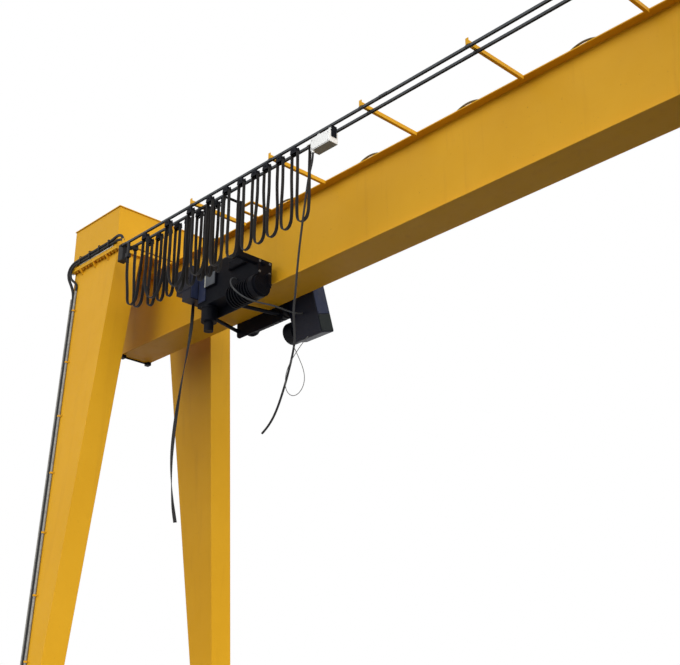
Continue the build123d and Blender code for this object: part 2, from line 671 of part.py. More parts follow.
motor_x = (at(CASE_END), at(MOTOR_END))
bell = motor_x[1] - BELL_L
motor = [
    rod_x(motor_x[0], bell, MOTOR_Y, up(MOTOR_Z), MOTOR_R),
    rod_x(bell, motor_x[1] - BELL_STEP, MOTOR_Y, up(MOTOR_Z), FIN_R),
    rod_x(motor_x[1] - BELL_STEP, motor_x[1], MOTOR_Y, up(MOTOR_Z), MOTOR_R)]
fin_pitch = (bell - motor_x[0]) / FIN_COUNT
for k in range(FIN_COUNT):
    fin_x = motor_x[0] + (k + 0.5) * fin_pitch
    motor.append(rod_x(fin_x - FIN_T / 2, fin_x + FIN_T / 2, MOTOR_Y, up(MOTOR_Z), FIN_R))
motor.append(span(
    at(MOTOR_BOX_X[0]), at(MOTOR_BOX_X[1]), MOTOR_BOX_Y, -SIDE_OUT, up(MOTOR_Z + MOTOR_R), up(MOTOR_BOX_TOP)))
motor.append(span(
    at(MOTOR_BOX_X[0]), at(MOTOR_BOX_X[1]), MOTOR_Y, -SIDE_OUT, up(MOTOR_Z), up(MOTOR_Z + MOTOR_R)))
save("hoist_motor", [join(motor)])
travel_tops = (CASE_LOW,) + TRAVEL_Z[:-1]
travel_steps = zip(travel_tops, TRAVEL_Z, TRAVEL_R)
travel = [rod_z(at(TRAVEL_X), TRAVEL_Y, up(low), up(top), r) for top, low, r in travel_steps]
save("travel_motor", [join(travel)])

# Tow post that pulls the last carrier of the power line
post_x = (at(POST_X) - POST_W / 2, at(POST_X) + POST_W / 2)
post_y = (POST_Y - POST_W / 2, POST_Y + POST_W / 2)
arm_low = up(MOTOR_BOX_TOP - POST_W)
save("tow_post", [span(*post_x, *post_y, arm_low, up(POST_TOP))])
save("tow_arm", [span(*post_x, post_y[1], MOTOR_BOX_Y, arm_low, up(MOTOR_BOX_TOP))])
fork_x = (at(POST_X) - FORK_W / 2, at(POST_X) + FORK_W / 2)
fork_z = (SADDLE_LOW + SADDLE_R - SADDLE_WALL, SADDLE_LOW + SADDLE_R)
save("tow_fork", [span(*fork_x, INNER_Y + SADDLE_W / 2, post_y[0], *fork_z)])

# Far side: grooved rope drum, tilted gear case and its brake
drum_x = (at(DRUM_X[0]), at(DRUM_X[1]))
drum_z = up(DRUM_Z)
drum = [rod_x(*drum_x, DRUM_Y, drum_z, DRUM_R - GROOVE_DEPTH)]
land = (drum_x[1] - drum_x[0]) / (2 * GROOVES)
for k in range(GROOVES):
    land_x = drum_x[0] + (2 * k + 0.5) * land
    drum.append(rod_x(land_x, land_x + land, DRUM_Y, drum_z, DRUM_R))
for rim_x in (drum_x[0], drum_x[1] - DRUM_RIM):
    drum.append(rod_x(rim_x, rim_x + DRUM_RIM, DRUM_Y, drum_z, DRUM_RIM_R))
    drum.append(span(rim_x, rim_x + DRUM_RIM, SIDE_OUT, DRUM_Y, drum_z - DRUM_R / 2, drum_z + DRUM_R / 2))
save("rope_drum_housing", [join(drum)])
gear_x = (drum_x[1], at(GEAR_END))
gear = span(*gear_x, 0, GEAR_W, 0, GEAR_H)
gear = fillet(gear.edges().filter_by(Axis.X), GEAR_ROUND)
gear_place = Pos(0, GEAR_Y, up(GEAR_Z)) * Rot(GEAR_TILT, 0, 0)
save("drum_gearbox", [gear_place * gear])
brake = rod_x(gear_x[0] - BRAKE_L, gear_x[0], BRAKE_Y, up(BRAKE_Z), BRAKE_R)
save("drum_brake", [fillet(brake.edges().sort_by(Axis.X)[0], GEAR_ROUND)])

# Pendant trolley box on the outer rail
pendant_x = (at(PENDANT_X), at(PENDANT_X + PENDANT_L))
pendant_y = (OUTER_Y - PENDANT_W / 2, OUTER_Y + PENDANT_W / 2)
pendant = span(*pendant_x, *pendant_y, PENDANT_LOW, PENDANT_TOP)
pendant = fillet(pendant.edges().filter_by(Axis.Y), PENDANT_ROUND)
lid = span(
    pendant_x[0] + LID_EDGE, pendant_x[1] - LID_EDGE, pendant_y[0] - LID_T, pendant_y[0],
    PENDANT_LOW + LID_EDGE, PENDANT_TOP - LID_EDGE)
gland = rod_z(at(PENDANT_CORD[0][0]), PENDANT_CORD_Y, PENDANT_LOW - GLAND_H, PENDANT_LOW, GLAND_R)
hook_y = (OUTER_Y - SADDLE_W / 2, OUTER_Y + SADDLE_W / 2)
hook = span(hook_x[0], hook_x[1] + PENDANT_ROUND, *hook_y, hook_low, PENDANT_TOP)
runners = [rail_runner(pendant_x[0] + dx, OUTER_Y, PENDANT_TOP) for dx in PENDANT_NECKS]
save("pendant_box", [join([pendant, lid, gland, hook] + runners)])

# Conduits and cables that are clipped to the head and the near left leg
pipe_off = CONDUIT_R + FIXED_GAP
supply_off = SUPPLY_R + FIXED_GAP
pipes = []
for inset, top in ((CONDUIT_INSET, CONDUIT_TOP), (SECOND_INSET, SECOND_TOP)):
    ends = (Vector(*leg_edge(inset, pipe_off, CONDUIT_FOOT)), Vector(*leg_edge(inset, pipe_off, top)))
    along = ends[1] - ends[0]
    pipes.append(Plane(origin=(ends[0] + ends[1]) / 2, z_dir=along) * Cylinder(CONDUIT_R, along.length))
save("leg_conduits", pipes)


def clipped(box_y, drop, run):
    entry = [(at(x), box_y, GIRDER_TOP + z) for x, z in drop]
    return entry + [(at(x), -HEAD_HALF - off, GIRDER_TOP + z) for x, off, z in run]


supply_leg = [leg_edge(SUPPLY_INSET, supply_off, z) for z in (SUPPLY_TOP, CONDUIT_FOOT)]
supply_route = clipped(SUPPLY_Y, SUPPLY_DROP, SUPPLY_RUN) + supply_leg
save("leg_cable", [tube("leg_cable", supply_route, SUPPLY_R)])
second_end = [leg_edge(SECOND_INSET, pipe_off, z) for z in (SECOND_TOP + SECOND_LEAD, SECOND_TOP)]
second_route = clipped(SECOND_Y, SECOND_DROP, SECOND_RUN) + second_end
save("head_cable", [tube("head_cable", second_route, CONDUIT_R)])

# Free cords
pendant_route = placed([(x, PENDANT_CORD_Y, z) for x, z in PENDANT_CORD])
save("pendant_cable", [tube("pendant_cable", pendant_route, PENDANT_CORD_R)])
wire_out = [WIRE_STEP * max(0, k - WIRE_FLAT) for k in range(len(WIRE))]
wire_route = placed([(x, WIRE_Y - out, z) for (x, z), out in zip(WIRE, wire_out)])
save("pendant_wire", [tube("pendant_wire", wire_route, WIRE_R)])
tail_route = placed([(x, TAIL_Y, z) for x, z in TAIL])
save("hoist_tail_cable", [tube("hoist_tail_cable", tail_route, TAIL_R)])
gear_face = [
    (gear_place * Pos(at(MOTOR_CORD_END[0]), y, MOTOR_CORD_END[1])).position for y in (-MOTOR_CORD_RUN, 0)]
motor_route = placed(MOTOR_CORD) + [tuple(p) for p in gear_face]
save("motor_cable", [tube("motor_cable", motor_route, MOTOR_CORD_R)])
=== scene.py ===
import bmesh
import bpy
import json
import math
from collections import namedtuple
from itertools import product
from mathutils import Matrix, Quaternion, Vector


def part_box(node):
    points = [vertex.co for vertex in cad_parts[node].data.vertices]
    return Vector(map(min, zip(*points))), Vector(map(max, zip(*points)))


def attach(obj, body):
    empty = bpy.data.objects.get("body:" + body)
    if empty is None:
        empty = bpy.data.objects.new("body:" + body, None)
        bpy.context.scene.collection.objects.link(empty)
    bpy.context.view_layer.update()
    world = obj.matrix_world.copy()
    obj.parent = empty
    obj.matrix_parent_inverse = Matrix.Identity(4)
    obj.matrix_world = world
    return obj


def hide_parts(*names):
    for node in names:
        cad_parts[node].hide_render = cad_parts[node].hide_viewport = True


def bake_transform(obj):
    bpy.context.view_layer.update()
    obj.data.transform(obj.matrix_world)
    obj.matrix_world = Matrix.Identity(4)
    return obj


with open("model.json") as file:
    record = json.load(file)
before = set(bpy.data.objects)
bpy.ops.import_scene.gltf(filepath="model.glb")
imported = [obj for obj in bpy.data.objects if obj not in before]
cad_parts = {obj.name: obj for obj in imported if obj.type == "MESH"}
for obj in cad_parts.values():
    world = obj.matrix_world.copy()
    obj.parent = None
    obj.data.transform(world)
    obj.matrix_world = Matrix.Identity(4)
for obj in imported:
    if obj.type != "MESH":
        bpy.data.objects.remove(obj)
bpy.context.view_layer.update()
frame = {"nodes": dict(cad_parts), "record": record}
nodes = frame["nodes"]

# Camera of the photograph, which is 680 pixels wide
PHOTO_WIDTH = 680
FOCAL_PIXELS = 1176.7
SENSOR_WIDTH = 36
CAMERA_AT = Vector((7.6245, -8.669, 1.016))
CAMERA_ALONG = Vector((-0.6707, 0.6351, 0.3831))
CAMERA_ROLL = 0.0036

X_AXIS = Vector((1, 0, 0))
Y_AXIS = Vector((0, 1, 0))
Z_AXIS = Vector((0, 0, 1))
ENDS = (1, -1)

# Sizes are in metres, and heights count from the ground unless above() takes them
Place = namedtuple("Place", "x y z")
FRAME_DIGITS = 5


def box(node):
    """A node's lowest and highest corner, rounded because the frame's meshes hold single precision."""
    return [Place(*(round(value, FRAME_DIGITS) for value in corner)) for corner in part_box(node)]


def middle(node):
    return Place(*((low + high) / 2 for low, high in zip(*box(node))))


GIRDER_CORNER = box("girder_bottom_flange")[0]
RAIL_LOW = box("festoon_rails")[0].z


def at(x):
    """X of a place that is counted from the girder's left end."""
    return GIRDER_CORNER.x + x


def above(z):
    """Z of a place that is counted from the girder's underside."""
    return GIRDER_CORNER.z + z


def placed(points):
    return [Vector((at(x), y, above(z))) for x, y, z in points]


def line_carriers(label):
    return [middle(node) for node in sorted(nodes) if node.startswith(f"{label}_carrier_")]


# Festoon: two rows of carriers, read from the frame, and the flat cable that hangs from them
OUTER_CARRIERS = line_carriers("pendant")
INNER_CARRIERS = line_carriers("power")
OUTER_Y = OUTER_CARRIERS[0].y
TOW_CARRIER = middle("tow_carrier")
TOW_CORNER = box("tow_carrier")[0]
SADDLE_LOW = TOW_CORNER.z
SADDLE_HALF = TOW_CARRIER.x - TOW_CORNER.x
SADDLE_SIDE = TOW_CARRIER.y - TOW_CORNER.y
SADDLE_GRIP = 0.047
CABLE_W = 0.044
CABLE_T = 0.009
CABLE_CORES = 4

# Where a row of loops begins or ends without a carrier: X, and the drop below the rails
OUTER_CLAMP = (1.482, 0.214)
INNER_CLAMP = (1.448, 0.056)
TOW_HOOK = (5.040, 0.096)

# Hanging loops
LOOP_LOW = above(-0.050)
LOOP_BELLY = 0.095
OUTER_SPREAD = 0.039
INNER_SPREAD = 0.019
LOOP_FALL = 0.115
LOOP_BULGE = 0.258
WAIST_SHARE = 0.95
WAIST_HEIGHT = 0.64
FOOT_SHARE = 0.85
FOOT_MOST = 0.095
WIDE_LOOP = 0.35
FIRST_LIFT = {"pendant": 0.055, "power": 0.080}
FIRST_GATHER = 0.72

# Gear case: its own frame leans about X
GEAR_TILT = math.radians(18)
GEAR_LEAN = Matrix.Rotation(GEAR_TILT, 4, "X")
GEAR_FOOT = Vector((0, 0.516, above(-0.440)))
GEAR_PLACE = Matrix.Translation(GEAR_FOOT) @ GEAR_LEAN

# Free cords: routes of X and Z, or X, Y and Z, from the girder's left end and underside
PENDANT_CORD_R = 0.012
PENDANT_CORD_Y = OUTER_Y - 0.045
PENDANT_CORD = (
    (5.140, 0.698), (5.140, 0.610), (5.078, 0.440), (5.035, 0.200), (4.994, -0.060), (4.950, -0.340),
    (4.912, -0.653), (4.896, -0.900), (4.864, -1.100), (4.886, -1.300), (4.900, -1.480), (4.843, -1.690),
    (4.745, -1.945), (4.624, -2.182), (4.500, -2.312), (4.407, -2.360))
WIRE_R = 0.004
WIRE_SIDES = 8
WIRE_Y = PENDANT_CORD_Y - 0.0164
WIRE_STEP = 0.0011
WIRE_FLAT = 5
WIRE = (
    (5.122, -1.483), (5.046, -1.526), (4.960, -1.592), (4.874, -1.668), (4.800, -1.762), (4.776, -1.862),
    (4.786, -1.962), (4.840, -2.042), (4.926, -2.086), (5.020, -2.066), (5.082, -1.990), (5.086, -1.892),
    (5.052, -1.794), (5.006, -1.704), (4.958, -1.616), (4.914, -1.534))
TAIL_T = 0.011
TAIL_TWIST = 2.2 * math.pi
TAIL_Y = -0.450
TAIL = (
    (2.032, 0.074), (2.032, -0.080), (2.012, -0.300), (1.960, -0.560), (1.880, -0.900), (1.812, -1.270),
    (1.768, -1.600), (1.750, -1.900), (1.775, -2.190), (1.822, -2.450), (1.862, -2.610), (1.909, -2.754))
MOTOR_CORD_R = 0.010
MOTOR_CORD = (
    (2.990, -0.500, 0.120), (2.990, -0.570, 0.120), (3.020, -0.625, 0.040), (3.080, -0.645, -0.060),
    (3.170, -0.625, -0.160), (3.250, -0.560, -0.240), (3.300, -0.440, -0.268), (3.310, -0.300, -0.255),
    (3.290, -0.150, -0.228), (3.255, 0.000, -0.205), (3.222, 0.140, -0.190))
MOTOR_CORD_X = 3.200
MOTOR_CORD_RISE = 0.320
MOTOR_CORD_RUN = 0.130

# Node helpers
NOISE_ROUGHNESS = 0.6
BEVEL_SAMPLES = 4
BLACK = (0, 0, 0, 1)
WHITE = (1, 1, 1, 1)
MIX_FACTOR = 0
MIX_FIRST = 6
MIX_SECOND = 7
MIX_COLOUR = 2


def srgb(*levels):
    """Linear colour for levels of 0 to 255."""
    shares = [level / 255 for level in levels]
    linear = [c / 12.92 if c < 0.04045 else ((c + 0.055) / 1.055) ** 2.4 for c in shares]
    return (*linear, 1)


def darker(colour, share):
    return (*(c * share for c in colour[:3]), 1)


def feed(tree, socket, value):
    """Links an input to another node's output, or sets its value."""
    if isinstance(value, bpy.types.NodeSocket):
        tree.links.new(value, socket)
    else:
        socket.default_value = value


def add_node(tree, kind, inputs=None, **settings):
    made = tree.nodes.new(kind)
    for key, value in settings.items():
        setattr(made, key, value)
    for key, value in (inputs or {}).items():
        feed(tree, made.inputs[key], value)
    return made


class Shader:
    """A material's nodes, built round its Principled BSDF."""

    def __init__(self, name):
        self.mat = bpy.data.materials.new(name)
        self.mat.use_nodes = True
        self.tree = self.mat.node_tree
        self.bsdf = self.tree.nodes["Principled BSDF"]
        self.place = self.node("ShaderNodeTexCoord").outputs["Object"]

    def node(self, kind, inputs=None, **settings):
        return add_node(self.tree, kind, inputs, **settings)

    def set(self, key, value):
        feed(self.tree, self.bsdf.inputs[key], value)

    def noise(self, scale, detail=4, stretch=(1, 1, 1)):
        mapping = self.node("ShaderNodeMapping", {"Vector": self.place, "Scale": stretch})
        texture = self.node("ShaderNodeTexNoise", {
            "Vector": mapping.outputs["Vector"], "Scale": scale, "Detail": detail,
            "Roughness": NOISE_ROUGHNESS})
        return texture.outputs["Fac"]

    def ramp(self, fac, low, high):
        ramp = self.node("ShaderNodeValToRGB", {"Fac": fac})
        for element, place, colour in zip(ramp.color_ramp.elements, (low, high), (BLACK, WHITE)):
            element.position = place
            element.color = colour
        return ramp.outputs["Color"]

    def patches(self, low, high, **texture):
        return self.ramp(self.noise(**texture), low, high)

    def scaled(self, fac, share):
        return self.node("ShaderNodeMath", {0: fac, 1: share}, operation="MULTIPLY").outputs[0]

    def blend(self, fac, first, second):
        values = {MIX_FACTOR: fac, MIX_FIRST: first, MIX_SECOND: second}
        return self.node("ShaderNodeMix", values, data_type="RGBA").outputs[MIX_COLOUR]

    def stain(self, paint, fac, share, colour):
        return self.blend(self.scaled(fac, share), paint, colour)

    def roughness(self, fac, low, high):
        spread = self.node("ShaderNodeMapRange", {"Value": fac, "To Min": low, "To Max": high})
        self.set("Roughness", spread.outputs["Result"])

    def bump(self, height, distance, strength, edge=0.0):
        bump = self.node("ShaderNodeBump", {"Height": height, "Distance": distance, "Strength": strength})
        if edge:
            bevel = self.node("ShaderNodeBevel", {"Radius": edge}, samples=BEVEL_SAMPLES)
            feed(self.tree, bump.inputs["Normal"], bevel.outputs["Normal"])
        self.set("Normal", bump.outputs["Normal"])


# Materials
PAINT_DEEP = srgb(212, 155, 20)
PAINT_PALE = srgb(221, 165, 32)
PAINT_STREAK = srgb(164, 106, 22)
PAINT_SPECK = srgb(120, 74, 28)
SHELL = srgb(243, 243, 240)
SHELL_GRIME = srgb(188, 186, 176)
# Darker grey painted on the box's downward faces as shade
SHELL_PAINTED_SHADE = srgb(122, 124, 116)
RUST = srgb(112, 66, 34)
DUST = srgb(92, 88, 82)


def yellow_paint():
    s = Shader("yellow_paint")
    clouds = s.patches(low=0.30, high=0.72, scale=0.55, detail=5)
    streaks = s.patches(low=0.56, high=0.82, scale=5.0, detail=5, stretch=(1.6, 1.6, 0.09))
    specks = s.patches(low=0.69, high=0.76, scale=34.0, detail=3)
    paint = s.blend(clouds, PAINT_DEEP, PAINT_PALE)
    paint = s.stain(paint, streaks, share=0.22, colour=PAINT_STREAK)
    s.set("Base Color", s.stain(paint, specks, share=0.35, colour=PAINT_SPECK))
    s.set("Specular IOR Level", 0.17)
    s.roughness(s.noise(scale=7.0), low=0.44, high=0.62)
    s.bump(s.noise(scale=85.0, detail=3), distance=0.002, strength=0.10, edge=0.006)
    return s.mat


def dark_metal(name, base, dust, gloss, sheen=0.2):
    s = Shader(name)
    worn = s.patches(low=0.35, high=0.75, scale=5.0, detail=5)
    settled = s.patches(low=0.52, high=0.80, scale=16.0, detail=5, stretch=(1, 1, 0.4))
    paint = s.blend(worn, base, darker(base, share=0.72))
    s.set("Base Color", s.stain(paint, settled, share=0.35, colour=dust))
    s.set("Specular IOR Level", sheen)
    s.roughness(s.noise(scale=20.0), low=gloss - 0.08, high=gloss + 0.14)
    s.bump(s.noise(scale=140.0, detail=3), distance=0.002, strength=0.16, edge=0.005)
    return s.mat


def bare_steel(name, base, stain, gloss, grain):
    s = Shader(name)
    spangle = s.patches(low=0.35, high=0.68, scale=grain)
    rust = s.patches(low=0.60, high=0.78, scale=9.0, detail=6)
    metal = s.blend(spangle, base, darker(base, share=0.68))
    s.set("Base Color", s.stain(metal, rust, share=0.55, colour=stain))
    s.set("Metallic", 0.55)
    s.roughness(s.noise(scale=grain), low=gloss - 0.10, high=gloss + 0.15)
    s.bump(s.noise(scale=grain * 3, detail=3), distance=0.001, strength=0.18)
    return s.mat


def cable_rubber(name, base, scuffed):
    s = Shader(name)
    worn = s.patches(low=0.42, high=0.80, scale=9.0, detail=5)
    s.set("Base Color", s.stain(base, worn, share=0.6, colour=scuffed))
    s.set("Specular IOR Level", 0.25)
    s.roughness(s.noise(scale=30.0), low=0.48, high=0.72)
    s.bump(s.noise(scale=260.0, detail=2), distance=0.001, strength=0.25)
    return s.mat


def white_plastic():
    """White with streaks of grime, and painted shade that darkens the faces that look down."""
    s = Shader("box_white")
    grime = s.patches(low=0.50, high=0.78, scale=11.0, detail=6, stretch=(1, 1, 0.35))
    shell = s.stain(SHELL, grime, share=0.35, colour=SHELL_GRIME)
    # Painted shade: faces that look down are blended towards a darker grey
    normal = s.node("ShaderNodeNewGeometry").outputs["Normal"]
    up = s.node("ShaderNodeSeparateXYZ", {"Vector": normal}).outputs["Z"]
    underside_shade = s.ramp(s.scaled(up, -1.0), low=0.55, high=0.90)
    s.set("Base Color", s.blend(underside_shade, shell, SHELL_PAINTED_SHADE))
    s.roughness(s.noise(scale=25.0, detail=3), low=0.42, high=0.62)
    s.bump(s.noise(scale=180.0, detail=2), distance=0.001, strength=0.15, edge=0.004)
    return s.mat


MATERIALS = {
    "yellow_paint": yellow_paint(),
    "hoist_dark": dark_metal("hoist_dark", srgb(8, 10, 18), srgb(24, 25, 30), gloss=0.48, sheen=0.08),
    "cabinet_blue": dark_metal("cabinet_blue", srgb(13, 16, 32), srgb(34, 36, 44), gloss=0.44),
    "wheel_steel": bare_steel("wheel_steel", srgb(138, 138, 140), RUST, gloss=0.36, grain=30.0),
    "rail_grey": bare_steel("rail_grey", srgb(58, 62, 66), srgb(34, 33, 33), gloss=0.50, grain=24.0),
    "conduit_grey": bare_steel(
        "conduit_grey", srgb(188, 188, 178), srgb(128, 120, 104), gloss=0.44, grain=36.0),
    "cable_black": cable_rubber("cable_black", srgb(15, 14, 15), srgb(34, 32, 31)),
    "box_white": white_plastic(),
}
PANEL_BLUE = dark_metal("panel_blue", srgb(44, 52, 80), DUST, gloss=0.42)
PANEL_GREEN = dark_metal("panel_green", srgb(18, 26, 25), srgb(44, 46, 44), gloss=0.52)
LID_GREY = dark_metal("lid_grey", srgb(98, 102, 108), DUST, gloss=0.45)
CORD_GREY = cable_rubber("cord_grey", srgb(66, 68, 70), srgb(88, 88, 86))
WIRE_GREY = bare_steel("wire_grey", srgb(92, 92, 90), srgb(60, 54, 48), gloss=0.46, grain=60.0)
NODE_LOOKS = {
    "flange_loops": dark_metal("loop_brown", srgb(104, 84, 46), srgb(150, 128, 84), gloss=0.52),
    # Leg conduits: their own grey, made darker to stand in for the shade they cast on the leg beside them,
    # so partly real colour and partly painted shade
    "leg_conduits": bare_steel(
        "conduit_grey_painted_shade", srgb(136, 134, 128), srgb(96, 90, 80), gloss=0.58, grain=36.0),
}
for part in frame["record"]["subparts"]:
    shown = nodes[part["node"]]
    shown.data.materials.clear()
    shown.data.materials.append(NODE_LOOKS.get(part["node"], MATERIALS[part["material_slot"]]))


# Mesh helpers
HEX_SIDES = 6
BEVEL_STEPS = 2
BEVEL_PROFILE = 0.6
ROUTE_STEPS = 10
ROUTE_ORDER = 3
CORE_STEPS = 4
CABLE_EDGE = 0.45
CABLE_VALLEY = 0.72
SCREW_TAPER = 6 / 7
SCREW_H = 0.003

# A bolt's washer, nut and stud: two radii, height and base as shares of its size, and the sides
BOLT_PARTS = (
    (0.95, 0.90, 0.14, 0.00, 16),
    (0.58, 0.58, 0.50, 0.14, HEX_SIDES),
    (0.32, 0.28, 0.28, 0.64, 10))


def piece(name, bm, slot, body, mat=None, smooth=False):
    mesh = bpy.data.meshes.new(name)
    bmesh.ops.recalc_face_normals(bm, faces=bm.faces)
    bm.to_mesh(mesh)
    bm.free()
    for face in mesh.polygons:
        face.use_smooth = smooth
    mesh.materials.append(mat or MATERIALS[slot])
    made = bpy.data.objects.new(name, mesh)
    bpy.context.scene.collection.objects.link(made)
    if body:
        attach(made, body)
    return made


def evenly(span, count):
    step = (span[1] - span[0]) / (count - 1)
    return [span[0] + k * step for k in range(count)]


def corners(first, second, inset):
    """The four corners of two spans, each drawn in by inset."""
    return product(*((low + inset, high - inset) for low, high in (first, second)))


def facing(where, normal):
    turn = Z_AXIS.rotation_difference(Vector(normal).normalized())
    return Matrix.Translation(where) @ turn.to_matrix().to_4x4()


def add_disc(bm, where, normal, r0, r1, height, sides, base=0.0):
    lift = Matrix.Translation((0, 0, base + height / 2))
    bmesh.ops.create_cone(
        bm, cap_ends=True, segments=sides, radius1=r0, radius2=r1, depth=height,
        matrix=facing(where, normal) @ lift)


def add_bolt(bm, where, normal, size):
    for r0, r1, height, base, sides in BOLT_PARTS:
        add_disc(bm, where, normal, size * r0, size * r1, size * height, sides, size * base)


def bolts(name, spots, normal, size, slot, body):
    bm = bmesh.new()
    for spot in spots:
        add_bolt(bm, spot, normal, size)
    piece(name, bm, slot, body)


def add_box(bm, centre, size, turn=None, bevel=0.0):
    shape = Matrix.Translation(centre) @ (turn or Matrix.Identity(4)) @ Matrix.Diagonal((*size, 1))
    made = bmesh.ops.create_cube(bm, size=1, matrix=shape)
    if bevel:
        edges = {e for v in made["verts"] for e in v.link_edges}
        bmesh.ops.bevel(
            bm, geom=list(edges), offset=bevel, segments=BEVEL_STEPS, affect="EDGES", profile=BEVEL_PROFILE)


def add_plate(bm, x, z, face, thick, bevel):
    """Plate over two spans, on a face that looks along -Y."""
    centre = (sum(x) / 2, face - thick / 2, sum(z) / 2)
    add_box(bm, centre, (x[1] - x[0], thick, z[1] - z[0]), bevel=bevel)


def add_screws(bm, x, z, face, inset, radius, sides):
    """Screws in the corners of two spans, on a face that looks along -Y."""
    for sx, sz in corners(x, z, inset):
        add_disc(bm, (sx, face, sz), -Y_AXIS, radius, radius * SCREW_TAPER, SCREW_H, sides)


def skin(bm, rings):
    """Closed skin over rings of points, from the first ring to the last."""
    rings = [[bm.verts.new(point) for point in ring] for ring in rings]
    count = len(rings[0])
    for a, b in zip(rings, rings[1:]):
        for i in range(count):
            bm.faces.new((a[i], a[(i + 1) % count], b[(i + 1) % count], b[i]))
    bm.faces.new(rings[0][::-1])
    bm.faces.new(rings[-1])


def smooth_line(points, name):
    """Points along a NURBS curve that a route's points steer."""
    data = bpy.data.curves.new(name + "_route", "CURVE")
    data.dimensions = "3D"
    data.resolution_u = ROUTE_STEPS
    spline = data.splines.new("NURBS")
    spline.points.add(len(points) - 1)
    for target, point in zip(spline.points, points):
        target.co = (*point, 1)
    spline.order_u = ROUTE_ORDER
    spline.use_endpoint_u = True
    holder = bpy.data.objects.new(name + "_route", data)
    mesh = bpy.data.meshes.new_from_object(holder)
    line = [v.co.copy() for v in mesh.vertices]
    bpy.data.objects.remove(holder)
    bpy.data.curves.remove(data)
    bpy.data.meshes.remove(mesh)
    return line


def sweep(line, section, turns=None, span=None):
    """Section carried along a line, its width along Y unless it is turned."""
    rings = []
    for k in span or range(len(line)):
        ahead = (line[min(k + 1, len(line) - 1)] - line[max(k - 1, 0)]).normalized()
        wide = (Y_AXIS - ahead * Y_AXIS.dot(ahead)).normalized()
        thick = ahead.cross(wide)
        if turns:
            spin = Quaternion(ahead, turns[k])
            wide, thick = spin @ wide, spin @ thick
        rings.append([line[k] + wide * u + thick * v for u, v in section])
    bm = bmesh.new()
    skin(bm, rings)
    return bm


def flat_section(width, thick):
    """Flat cable with a row of round cores that show on its faces."""
    steps = CORE_STEPS * CABLE_CORES
    upper = []
    for i in range(steps + 1):
        swell = abs(math.sin(math.pi * i / CORE_STEPS))
        share = CABLE_EDGE if i in (0, steps) else CABLE_VALLEY + (1 - CABLE_VALLEY) * swell
        upper.append(((i / steps - 0.5) * width, thick / 2 * share))
    return upper + [(u, -v) for u, v in upper[::-1]]


def round_section(r, sides=12):
    angles = [2 * math.pi * i / sides for i in range(sides)]
    return [(r * math.cos(angle), r * math.sin(angle)) for angle in angles]


def loop_points(x0, z0, x1, z1, y, spread, lift=0.0, gather=1.0):
    bottom = LOOP_LOW + lift
    mid = (x0 + x1) / 2
    half = (x1 - x0) / 2
    belly = gather * min(max(half, LOOP_BELLY), half + spread)
    foot = min(FOOT_SHARE * belly, FOOT_MOST)
    sides = []
    for sign, x, z in ((-1, x0, z0), (1, x1, z1)):
        waist_z = bottom + WAIST_HEIGHT * (z - bottom)
        sides.append([
            (x, z), (x, z - LOOP_FALL), (mid + sign * WAIST_SHARE * half, waist_z),
            (mid + sign * belly, bottom + LOOP_BULGE), (mid + sign * foot, bottom)])
    return [Vector((x, y, z)) for x, z in sides[0] + sides[1][::-1]]


def pull(run):
    """Bakes a run's placement into its mesh."""
    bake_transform(run)


def cable_run(name, node, line, span):
    section = flat_section(CABLE_W, CABLE_T)
    run = piece(name, sweep(line, section, span=span), "cable_black", None, smooth=True)
    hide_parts(node)
    return run


def strands(name, node, line, tops, shares):
    """A narrow loop as two strands, each swept over its own half of the line so that it keeps its
    thickness.
    """
    whole = range(len(line))
    half = len(line) // 2
    spans = (whole[:half + 1], whole[half:])
    for side, span, top, share in zip("ab", spans, tops, shares):
        run = cable_run(name + side, node, line, span)
        pull(run)


def festoon(label, carriers, spread, begin, end, lead):
    node = f"{label}_festoon_cable"
    y = carriers[0].y
    starts = [begin] + [(carrier.x + SADDLE_GRIP, SADDLE_LOW) for carrier in carriers]
    ends = [(carrier.x - SADDLE_GRIP, SADDLE_LOW) for carrier in carriers] + [end]
    count = len(starts)
    for k, (a, b) in enumerate(zip(starts, ends)):
        name = f"{label}_loop_{k + 1:02d}"
        first = (FIRST_LIFT[label], FIRST_GATHER) if k == 0 else ()
        line = smooth_line(loop_points(*a, *b, y, spread, *first), name)
        shares = (k / count, (k + 1) / count)
        if k > 0 and b[0] - a[0] <= WIDE_LOOP:
            strands(name, node, line, (a[1], b[1]), shares)
            continue
        run = cable_run(name, node, line, range(len(line)))
        if k == 0:
            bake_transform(run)
        else:
            pull(run)


def below_rail(x, drop):
    return at(x), RAIL_LOW - drop


outer_ends = (below_rail(*OUTER_CLAMP), below_rail(*TOW_HOOK))
inner_ends = (below_rail(*INNER_CLAMP), (TOW_CARRIER.x - SADDLE_GRIP, SADDLE_LOW))
festoon("pendant", OUTER_CARRIERS, OUTER_SPREAD, *outer_ends, "pendant_trolley")
festoon("power", INNER_CARRIERS, INNER_SPREAD, *inner_ends, "hoist_trolley")


# Free cords on the two trolleys
def free_cord(
        name, points, section, body, slot="cable_black",
        turns=0.0, mat=None):
    line = smooth_line(points, name)
    twist = evenly((0, turns), len(line)) if turns else None
    cord = piece(name + "_cord", sweep(line, section, twist), slot, body, mat, smooth=True)
    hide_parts(name)


